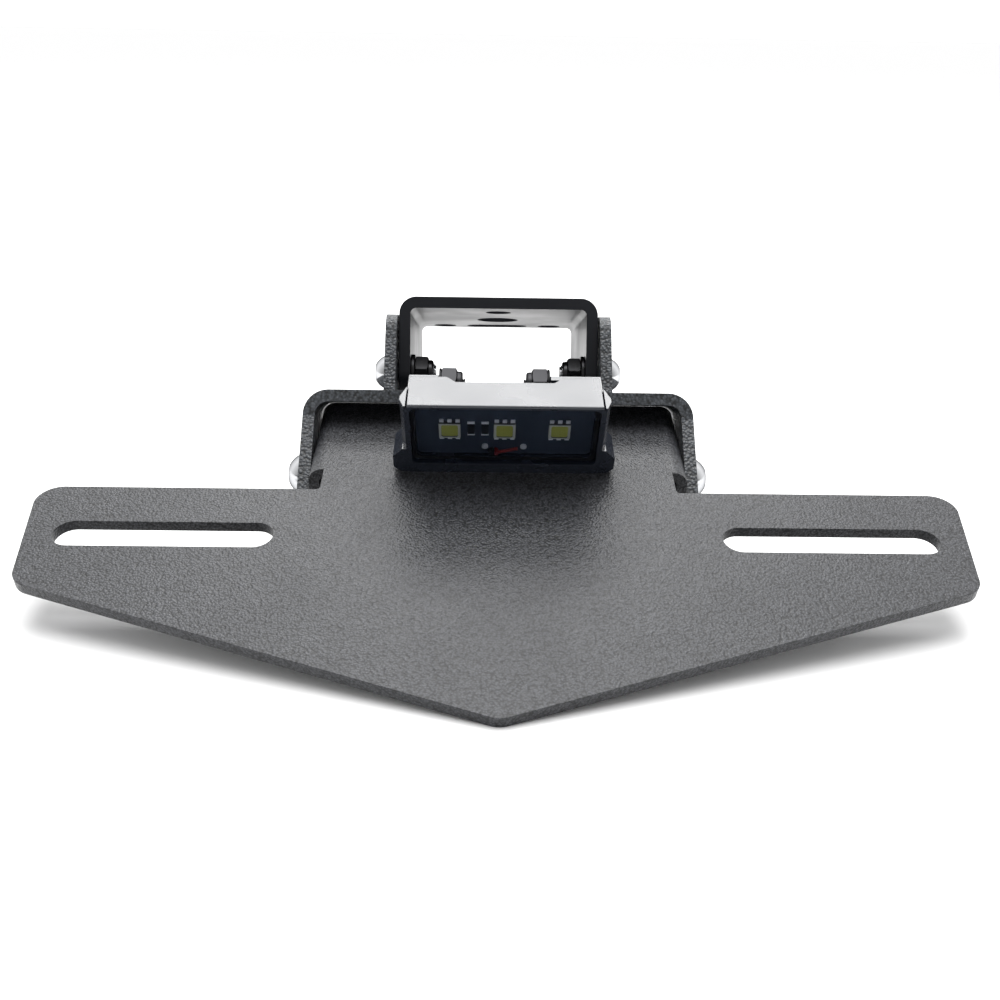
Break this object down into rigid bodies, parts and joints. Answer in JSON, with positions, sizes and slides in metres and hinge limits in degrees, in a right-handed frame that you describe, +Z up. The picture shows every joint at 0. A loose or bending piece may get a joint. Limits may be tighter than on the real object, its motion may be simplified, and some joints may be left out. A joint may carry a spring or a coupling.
{
  "type": "tail tidy",
  "caption": "Black folded-steel tail tidy with a slotted number plate bracket, two clamped pivots, a channel that bolts under the tail and a number plate light.",
  "frame": {"origin": "middle of the bounding box's footprint, on the plane that the part rests on", "axes": "+Z up, +Y forwards under the motorcycle's tail and away from the plate bracket's tip, +X across the motorcycle"},
  "size_m": [0.2108, 0.1734, 0.0515],
  "materials": {
    "black_texture_coat": "fine-textured black powder coat that catches the light as dark grey",
    "black_texture_coat_dark": "fine-textured black powder coat",
    "black_gloss_coat": "smooth glossy black coat",
    "chrome_plate": "bright plated steel",
    "zinc_steel": "zinc-plated steel",
    "nylon": "pale nylon ring",
    "black_anodised": "glossy black aluminium",
    "black_steel": "black oxide steel",
    "smoked_lens": "clear smoked plastic",
    "black_rubber": "matt black rubber",
    "black_solder_mask": "black lacquered board",
    "white_led_frame": "off-white moulded frame",
    "yellow_phosphor": "yellow resin",
    "solder": "bright solder",
    "black_chip": "dark chip body",
    "red_insulation": "red wire insulation"
  },
  "bodies": {
    "mount": {"mount_bracket": "black_gloss_coat"},
    "link": {"link_bracket": "black_texture_coat_dark", "lower_pivot_bolts": "chrome_plate", "lower_washers": "zinc_steel", "lower_lock_nuts": "zinc_steel", "lower_nut_rings": "nylon", "upper_pivot_bolts": "chrome_plate", "upper_washers": "zinc_steel", "upper_lock_nuts": "zinc_steel", "upper_nut_rings": "nylon"},
    "plate": {"plate_bracket": "black_texture_coat", "lamp_housing": "black_anodised", "lamp_cap_left": "black_anodised", "lamp_cap_right": "black_anodised", "lamp_cap_screws": "black_steel", "lamp_foot_screws": "zinc_steel", "lamp_studs": "zinc_steel", "lamp_stud_washers": "zinc_steel", "lamp_stud_nuts": "zinc_steel", "lamp_lens": "smoked_lens", "lens_gasket": "black_rubber", "circuit_board": "black_solder_mask", "led_frames": "white_led_frame", "led_phosphors": "yellow_phosphor", "solder_marks": "solder", "resistor": "black_chip", "diode": "black_chip", "red_wire": "red_insulation", "black_wire": "black_rubber", "cable_grommet": "black_rubber"}
  },
  "joints": [
    {"name": "upper_pivot", "type": "hinge", "parent": "mount", "child": "link", "pos_m": [0, 0.03523, 0.03034], "axis": [-1, 0, 0], "range_deg": [-20, 20]},
    {"name": "lower_pivot", "type": "hinge", "parent": "link", "child": "plate", "pos_m": [0, 0.00023, 0.0142], "axis": [-1, 0, 0], "range_deg": [0, 30]}
  ]
}
